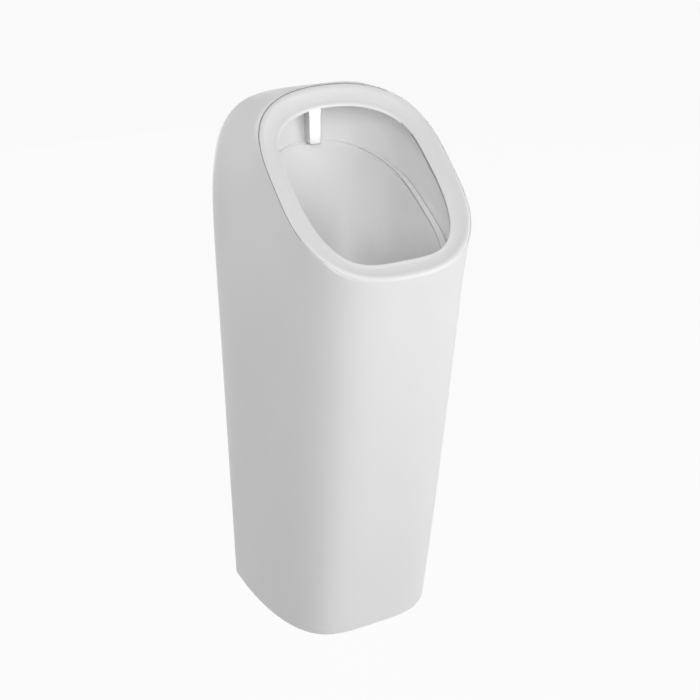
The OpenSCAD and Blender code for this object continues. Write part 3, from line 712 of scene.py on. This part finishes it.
NODE_FINISHES = {
    "spreader_body": "grey_plastic",
    "spreader_seal": "black_rubber",
    "spreader_washer": "red_fibre",
    "spreader_locknut": "turned_brass",
    "flow_regulator": "orange_plastic",
    "strainer": "brushed_steel",
    "waste_body": "polished_chrome",
    "waste_top_seal": "black_rubber",
    "waste_under_seal": "black_rubber",
    "waste_washer": "white_plastic",
    "waste_backnut": "turned_brass",
    "trap_inlet_nut": "white_plastic",
    "trap_inlet_seal": "black_rubber",
    "trap_body": "white_plastic",
    "dip_tube": "white_plastic",
    "trap_cup": "white_plastic",
    "trap_cup_seal": "black_rubber",
    "trap_outlet_nut": "white_plastic",
    "trap_outlet_seal": "black_rubber",
    "outlet_pipe": "white_plastic",
    "wall_collar": "black_rubber",
}


# ------------------------------------------------------------------ operators

class URINAL_OT_ceramic(bpy.types.Operator):
    """Build the glazed ceramic casting."""

    bl_idname = "urinal.ceramic"
    bl_label = "Ceramic"

    def execute(self, context):
        s = context.scene.urinal_ceramic
        slope = (s.rim_top - s.lip_height) / (s.overall_depth - s.rim_setback)
        inner = (s.rim_setback + s.rim_back, s.overall_depth - s.rim_front,
                 s.rim_width / 2 - s.rim_side,
                 s.rim_top - s.rim_back * slope - s.fall_back,
                 s.lip_height + s.rim_front * slope - s.fall_front)
        ledge = (LEDGE_SETBACK, s.overall_depth - LEDGE_FRONT_GAP, s.ledge_width / 2,
                 s.ledge_back, s.ledge_front)
        rings, rows = self.rings(s, inner, ledge)
        bm = skin(rings)
        self.paint(bm, rows, WALL_Y - (inner[0] + inner[1]) / 2)
        piece = piece_from(bm, "ceramic_shell", "urinal",
                           [finish(name) for name in CERAMIC_FINISHES], SHELL_SMOOTH)
        carve(piece, self.cutters(s))
        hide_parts("ceramic_body")
        return {"FINISHED"}

    def rings(self, s, inner, ledge):
        """All rings from the outlet up through the cavity, over the rim, down and back inside."""
        rim_edge = oval(s.rim_setback, s.overall_depth, s.rim_width / 2,
                        s.rim_top + CORNER_RISE, s.lip_height, RIM_SQUARE)
        rim_edge = [p + Vector((swelling(a), 0, around(a, RIM_LIFT)))
                    for a, p in zip(ring_angles(), rim_edge)]
        inner_edge = oval(*inner, INNER_SQUARE)
        inner_foot = lifted(inner_edge, INNER_DROP)
        # The rows that get painted shade: the ledge's groove and gutter, the inner edge, the seam
        # and the foot; then the bare rows inside.
        rows = {}

        rings = self.bowl_rings(s, ledge)
        rows["groove"] = range(len(rings) + 1, len(rings) + 1 + LEDGE_SHADE_ROWS)
        ledge_edge = oval(*ledge, LEDGE_SQUARE)
        ledge_root = lifted(oval(s.back_wall, ledge[1] + LEDGE_STEP, ledge[2] + LEDGE_STEP,
                                 s.ledge_back, s.ledge_front, LEDGE_SQUARE), LEDGE_RISE)
        for down, deep in LEDGE_GROOVE:
            rings.append([p + (q - p).normalized() * deep - Vector((0, 0, down))
                          for p, q in zip(ledge_edge, ledge_root)])
        rings += fillet(ledge_edge, rings[-1], ledge_root, LEDGE_BELOW, LEDGE_ABOVE, LEDGE_STEPS)
        rows["gutter"] = range(len(rings), len(rings) + LEDGE_SHADE_ROWS)
        for back, down in LEDGE_GUTTER:
            rings.append([q + (p - q).normalized() * back - Vector((0, 0, down))
                          for p, q in zip(ledge_edge, ledge_root)])

        wall_half = inner[2] + s.undercut
        wall_lip = oval(*[size + shift for size, shift in zip(inner, WALL_LIP)], INNER_SQUARE)
        wall_top = oval(s.back_wall + WALL_TOP_BACK, inner[1] + s.undercut - WALL_TOP_FRONT,
                        wall_half, inner[3] - WALL_TOP_FALL[0], inner[4] - WALL_TOP_FALL[1],
                        WALL_TOP_SQUARE)
        wall_mid = oval(s.back_wall, inner[1] + WALL_MID_FRONT, wall_half,
                        inner[3] - WALL_MID_FALL, s.ledge_front + WALL_MID_RISE, WALL_MID_SQUARE)
        wall_foot = between(ledge_root, wall_mid, WALL_FOOT_SHARE)
        rings += spline([ledge_root, wall_foot, wall_mid, wall_top, wall_lip, inner_foot],
                        WALL_STEPS)

        start = len(rings)
        rings += fillet(inner_foot, wall_lip, inner_edge, INNER_FOOT_BELOW, INNER_FOOT_ABOVE,
                        INNER_FOOT_STEPS)
        rows["edge"] = range(start, len(rings) + EDGE_SHADE_ROWS)
        rings += fillet(inner_edge, inner_foot, rim_edge, INNER_ROUND, INNER_ROUND, INNER_STEPS)
        skin_low = outline(s, 0, FOOT_RADIUS, s.back_height)
        body_top = between(skin_low, rim_edge, BODY_TOP, SIDE_BOW, NECK_DEPTH)
        rounded = bead(rim_edge, inner_edge, body_top)
        rings += [hollowed(inner_edge, rounded[0], share, RIM_HOLLOW) for share in RIM_SHARES]
        rings += rounded
        before, after = SEAM_SHADE_ROWS
        rows["seam"] = range(len(rings) - 1 - before, len(rings) - 1 + after)
        rings += seam(rim_edge, inner_edge, body_top)
        rings += [between(skin_low, rim_edge, BODY_TOP * (1 - k / (BODY_RINGS - 1)), SIDE_BOW,
                          NECK_DEPTH) for k in range(BODY_RINGS)]
        for k in range(1, FOOT_RINGS + 1):
            a = math.radians(90 / FOOT_RINGS * k)
            rings.append(outline(s, FOOT_RADIUS * (1 - math.cos(a)),
                                 FOOT_RADIUS * (1 - math.sin(a)), s.back_height))
        rows["foot"] = range(len(rings) - FOOT_SHADE_ROWS, len(rings))
        start = len(rings)
        rings += self.hollow_rings(s, ledge)
        rows["bare"] = range(start, len(rings))
        return rings, rows

    @staticmethod
    def bowl_rings(s, ledge):
        """The rings of the hole, the seat of the waste and the bowl, up to the ledge."""
        seat_z = s.bowl_floor - SEAT_DEPTH
        radius = BOSS_RADIUS - FLOOR_INSET
        end = (OUTLET - radius, OUTLET + radius, radius, s.bowl_floor, s.bowl_floor)
        rings = [circle(WASTE_HOLE, s.bowl_floor - BOSS_THICKNESS),
                 circle(WASTE_HOLE, seat_z - HOLE_EASE),
                 circle(WASTE_HOLE + HOLE_EASE, seat_z),
                 circle(SEAT_RADIUS - SEAT_EASE, seat_z),
                 circle(SEAT_RADIUS, seat_z + SEAT_EASE)]
        rings += [circle(SEAT_RADIUS + out, s.bowl_floor - down) for out, down in SEAT_LIP]
        return rings + [bowl(90 - 90 / BOWL_RINGS * k, ledge, end) for k in range(1, BOWL_RINGS)]

    @staticmethod
    def hollow_rings(s, ledge):
        """The rings of the open hollow, the underside of the bowl and the boss."""
        low = outline(s, FLANGE, 0, OPENING_HEIGHT)
        high = oval(HOLLOW_BACK, s.overall_depth - HOLLOW_FRONT_GAP,
                    s.rim_width / 2 - HOLLOW_SIDE_GAP, OPENING_HEIGHT - HOLLOW_TOP_GAP,
                    s.lip_height - HOLLOW_LIP_GAP, HOLLOW_SQUARE)
        t = BOWL_THICKNESS
        under = [size + shift for size, shift in zip(ledge, (-t, t, t, -t, -t))]
        boss_low = s.bowl_floor - BOSS_THICKNESS
        boss_side = boss_low + BOSS_SIDE
        end = (OUTLET - BOSS_RADIUS, OUTLET + BOSS_RADIUS, BOSS_RADIUS, boss_side, boss_side)
        rings = [low]
        rings += [between(low, high, k / HOLLOW_RINGS, SIDE_BOW)
                  for k in range(1, HOLLOW_RINGS + 1)]
        rings += [bowl(90 / UNDER_RINGS * k, under, end) for k in range(1, UNDER_RINGS)]
        return rings + [circle(BOSS_RADIUS - inward, boss_low + up) for inward, up in BOSS_LIP]

    @staticmethod
    def paint(bm, rows, middle):
        """Gives each face its finish: bare inside, painted shade on the lines along the rim's inner
        edge, the seam, the foot and the ledge, white elsewhere.
        """
        groove, gutter = rows["groove"], rows["gutter"]
        for index, face in enumerate(bm.faces):
            row = index // RING_POINTS
            spot = face.calc_center_median()
            a = math.degrees(math.atan2(spot.y - middle, spot.x))
            edge, line, step = (fade(a, *arc) for arc in (EDGE_SHADE_ARC, SEAM_SHADE_ARC, LEDGE_SHADE_ARC))
            ends = row in (groove[0], gutter[-1])
            centre = row in (groove[1], gutter[1])
            # The foot, and the inner edge and the seam within their arcs, get the dark painted
            # shade; the fading ends of the arcs and the ledge's grooves get the softer painted
            # shade.
            if row in rows["bare"]:
                face.material_index = BARE
            elif (row in rows["foot"] or row in rows["edge"] and edge == 1
                    or row in rows["seam"] and line == 1):
                face.material_index = DARK_PAINTED_SHADE
            elif (row in rows["edge"] and edge > EDGE_SOFT or row in rows["seam"] and line > 0
                    or (row in groove or row in gutter)
                    and (step == 1 or step > LEDGE_SOFT and not ends or step > 0 and centre)):
                face.material_index = SOFT_PAINTED_SHADE
            else:
                face.material_index = GLAZED

    @staticmethod
    def cutters(s):
        """The shapes cut into the flat back and behind the bar, each with the finish it leaves."""
        inlet_z = (NUT_LOW.z + NUT_HIGH.z) / 2
        half = (COVER_HIGH.x - COVER_LOW.x) / 2 + NOTCH_GAP
        inlet = rod(0.0, WALL_Y - INLET_REACH, inlet_z, INLET_HOLE, INLET_REACH + 2 * PAST)
        recess = rod(0.0, WALL_Y - RECESS_DEPTH, inlet_z, RECESS_RADIUS, RECESS_DEPTH + PAST)
        notch = block(-half, half, COVER_LOW.y - NOTCH_REACH, WALL_Y - s.back_wall,
                      COVER_LOW.z - NOTCH_GAP, COVER_HIGH.z + NOTCH_GAP)
        cuts = [(inlet, BARE), (recess, BARE), (notch, GLAZED)]
        deep, long, lip = WALL_Y - HANGER_DEPTH, HANGER_DEPTH + PAST, HANGER_DEPTH - HANGER_LIP
        neck, entry = HANGER_NECK / 2, HANGER_ENTRY - APART
        z, top = HANGER_HEIGHT, HANGER_HEIGHT + HANGER_TRAVEL
        for x in (-HANGER_SPACING / 2, HANGER_SPACING / 2):
            pocket = (rod(x, deep, z, HANGER_ENTRY, long),
                      rod(x, deep, top, neck, long),
                      block(x - neck, x + neck, deep + APART, WALL_Y + PAST, z, top),
                      rod(x, deep + 2 * APART, top, HANGER_ENTRY, lip),
                      block(x - entry, x + entry, deep + 3 * APART, deep + 2 * APART + lip, z, top))
            cuts += [(shape, BARE) for shape in pocket]
        return cuts


class URINAL_OT_spreader(bpy.types.Operator):
    """Build the polished cover of the water spreader, with a satin front whose near-white colour is
    painted highlight.
    """

    bl_idname = "urinal.spreader"
    bl_label = "Spreader"

    def execute(self, context):
        low, high = COVER_LOW + Vector((0, 0, BAR_TRIM)), COVER_HIGH
        bm = block(low.x, high.x, low.y, high.y, low.z, high.z)
        back = [f for f in bm.faces if all(abs(v.co.y - high.y) < SAME for v in f.verts)]
        bmesh.ops.delete(bm, geom=back, context="FACES")
        corners = [e for e in bm.edges
                   if abs(e.verts[0].co.x - e.verts[1].co.x) < SAME
                   and abs(e.verts[0].co.z - e.verts[1].co.z) < SAME
                   and e.verts[0].co.z < (low.z + high.z) / 2]
        bmesh.ops.bevel(bm, geom=corners, offset=BAR_CORNER, offset_type="OFFSET",
                        segments=BAR_CORNER_STEPS, profile=0.5, affect="EDGES", material=-1)
        rim = [e for e in bm.edges if all(abs(v.co.y - low.y) < SAME for v in e.verts)]
        bmesh.ops.bevel(bm, geom=rim, offset=BAR_EDGE, offset_type="OFFSET",
                        segments=BAR_EDGE_STEPS, profile=0.5, affect="EDGES", material=-1)
        flats = [f for f in bm.faces
                 if max(abs(c) for c in f.normal) > BAR_SQUARE and f.calc_area() > BAR_FLAT]
        bmesh.ops.inset_individual(bm, faces=flats, thickness=BAR_INSET, use_even_offset=True)
        bmesh.ops.solidify(bm, geom=bm.faces[:], thickness=BAR_WALL)
        bmesh.ops.recalc_face_normals(bm, faces=bm.faces)
        # Faces that look forwards get the satin finish with its painted highlight; the rest stay
        # polished chrome.
        for face in bm.faces:
            face.material_index = 1 if face.normal.y < -BAR_FRONT else 0
        piece = piece_from(bm, "spreader_bar", "urinal",
                           [finish("polished_chrome"), finish("satin_chrome")], BAR_SMOOTH)
        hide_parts("spreader_cover")
        return {"FINISHED"}


class URINAL_OT_fittings(bpy.types.Operator):
    """Give the metal, plastic and rubber fittings their finishes."""

    bl_idname = "urinal.fittings"
    bl_label = "Fittings"

    def execute(self, context):
        for node, name in NODE_FINISHES.items():
            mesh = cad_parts[node].data
            mesh.materials.clear()
            mesh.materials.append(finish(name))
        return {"FINISHED"}


def seen_by(tree, path):
    """One for the rays that look at the backdrop: from the camera, mirrored or let through."""
    total = path.outputs["Is Camera Ray"]
    for kind in ("Is Glossy Ray", "Is Transmission Ray"):
        most = tree.nodes.new("ShaderNodeMath")
        most.operation = "MAXIMUM"
        tree.links.new(total, most.inputs[0])
        tree.links.new(path.outputs[kind], most.inputs[1])
        total = most.outputs[0]
    return total


FLOOR_SIZE, FLOOR_GREY, FLOOR_ROUGHNESS = 30.0, 0.55, 0.9
WHITE = (1.0, 1.0, 1.0, 1.0)
EYE, TARGET, SENSOR = (-0.74673, -1.47911, 1.32273), (0.06026, 0.14200, 0.42188), 36.0

# Each lamp's name, turn from the front to the right, rise, both in degrees, and power in watts.
LAMPS = (
    ("rear", 180, 4, 8.0),
    ("front_left", -25, 28, 38.0),
    ("front_right", 35, 14, 35.2),
    ("front_low", 15, 14, 5.9),
    ("right_low", 95, 14, 19.7),
    ("left_high", -120, 45, 24.0),
    ("left_low", -120, 10, 5.9),
)
LAMP_SIZE, LAMP_DISTANCE, LAMP_AIM = 2.0, 3.0, (0.0, 0.0, 0.5)


def look_at(obj, place, aim):
    """Puts a lamp or a camera at a place and points it at another."""
    obj.location = place
    obj.rotation_euler = (Vector(aim) - Vector(place)).to_track_quat("-Z", "Y").to_euler()


class URINAL_OT_stage(bpy.types.Operator):
    """Set up the floor, the soft studio light and the camera."""

    bl_idname = "urinal.stage"
    bl_label = "Stage"

    def execute(self, context):
        settings = context.scene.urinal_stage
        scene = context.scene
        scene.view_settings.view_transform = "Standard"
        self.floor(scene, settings)
        self.world(scene, settings)
        for name, turn, rise, power in LAMPS:
            turn, rise = math.radians(turn), math.radians(rise)
            away = Vector((math.sin(turn) * math.cos(rise), -math.cos(turn) * math.cos(rise),
                           math.sin(rise)))
            light = bpy.data.lights.new(name, "AREA")
            light.shape = "DISK"
            light.size = LAMP_SIZE
            light.energy = power
            lamp = bpy.data.objects.new(name, light)
            look_at(lamp, Vector(LAMP_AIM) + away * LAMP_DISTANCE, LAMP_AIM)
            scene.collection.objects.link(lamp)
        camera = bpy.data.cameras.new("camera")
        camera.lens = settings.lens
        camera.sensor_width = SENSOR
        eye = bpy.data.objects.new("camera", camera)
        look_at(eye, EYE, TARGET)
        scene.collection.objects.link(eye)
        scene.camera = eye
        return {"FINISHED"}

    @staticmethod
    def floor(scene, settings):
        """A pale floor that looks nearly white and keeps the object's shadow."""
        bm = bmesh.new()
        bmesh.ops.create_grid(bm, x_segments=1, y_segments=1, size=FLOOR_SIZE)
        mesh = bpy.data.meshes.new("floor")
        bm.to_mesh(mesh)
        bm.free()
        floor = bpy.data.objects.new("floor", mesh)
        scene.collection.objects.link(floor)
        material = bpy.data.materials.new("pale_floor")
        material.use_nodes = True
        tree = material.node_tree
        shader = tree.nodes["Principled BSDF"]
        shader.inputs["Base Color"].default_value = (FLOOR_GREY, FLOOR_GREY, FLOOR_GREY, 1.0)
        shader.inputs["Roughness"].default_value = FLOOR_ROUGHNESS
        shader.inputs["Specular IOR Level"].default_value = 0.0
        glow = tree.nodes.new("ShaderNodeEmission")
        glow.inputs["Strength"].default_value = 1.0
        blend = tree.nodes.new("ShaderNodeMixShader")
        path = tree.nodes.new("ShaderNodeLightPath")
        scale = tree.nodes.new("ShaderNodeMath")
        scale.operation = "MULTIPLY"
        scale.inputs[1].default_value = settings.floor_shade
        tree.links.new(seen_by(tree, path), scale.inputs[0])
        tree.links.new(scale.outputs[0], blend.inputs["Fac"])
        tree.links.new(shader.outputs["BSDF"], blend.inputs[1])
        tree.links.new(glow.outputs["Emission"], blend.inputs[2])
        tree.links.new(blend.outputs["Shader"], tree.nodes["Material Output"].inputs["Surface"])
        mesh.materials.append(material)

    @staticmethod
    def world(scene, settings):
        """A backdrop that looks white and lights the object only by the ambient strength."""
        world = scene.world or bpy.data.worlds.new("studio")
        scene.world = world
        world.use_nodes = True
        tree = world.node_tree
        tree.nodes.clear()
        out = tree.nodes.new("ShaderNodeOutputWorld")
        lit = tree.nodes.new("ShaderNodeBackground")
        seen = tree.nodes.new("ShaderNodeBackground")
        lit.inputs["Color"].default_value = WHITE
        lit.inputs["Strength"].default_value = settings.ambient
        seen.inputs["Color"].default_value = WHITE
        blend = tree.nodes.new("ShaderNodeMixShader")
        path = tree.nodes.new("ShaderNodeLightPath")
        tree.links.new(seen_by(tree, path), blend.inputs["Fac"])
        tree.links.new(lit.outputs["Background"], blend.inputs[1])
        tree.links.new(seen.outputs["Background"], blend.inputs[2])
        tree.links.new(blend.outputs["Shader"], out.inputs["Surface"])


class URINAL_PT_panel(bpy.types.Panel):
    """Lists the steps that build the urinal."""

    bl_idname = "URINAL_PT_panel"
    bl_label = "Urinal"
    bl_space_type = "VIEW_3D"
    bl_region_type = "UI"
    bl_category = "Urinal"

    def draw(self, context):
        column = self.layout.column()
        for operator in OPERATORS:
            column.operator(operator.bl_idname)


OPERATORS = (URINAL_OT_ceramic, URINAL_OT_spreader, URINAL_OT_fittings, URINAL_OT_stage)
CLASSES = (CeramicSizes, FinishColours, StageSettings) + OPERATORS + (URINAL_PT_panel,)


def register():
    for cls in CLASSES:
        bpy.utils.register_class(cls)
    bpy.types.Scene.urinal_ceramic = bpy.props.PointerProperty(type=CeramicSizes)
    bpy.types.Scene.urinal_colours = bpy.props.PointerProperty(type=FinishColours)
    bpy.types.Scene.urinal_stage = bpy.props.PointerProperty(type=StageSettings)


def unregister():
    del bpy.types.Scene.urinal_stage
    del bpy.types.Scene.urinal_colours
    del bpy.types.Scene.urinal_ceramic
    for cls in reversed(CLASSES):
        bpy.utils.unregister_class(cls)


def main():
    register()
    bpy.ops.urinal.ceramic()
    bpy.ops.urinal.spreader()
    bpy.ops.urinal.fittings()
    bpy.ops.urinal.stage()


if __name__ == "__main__":
    main()
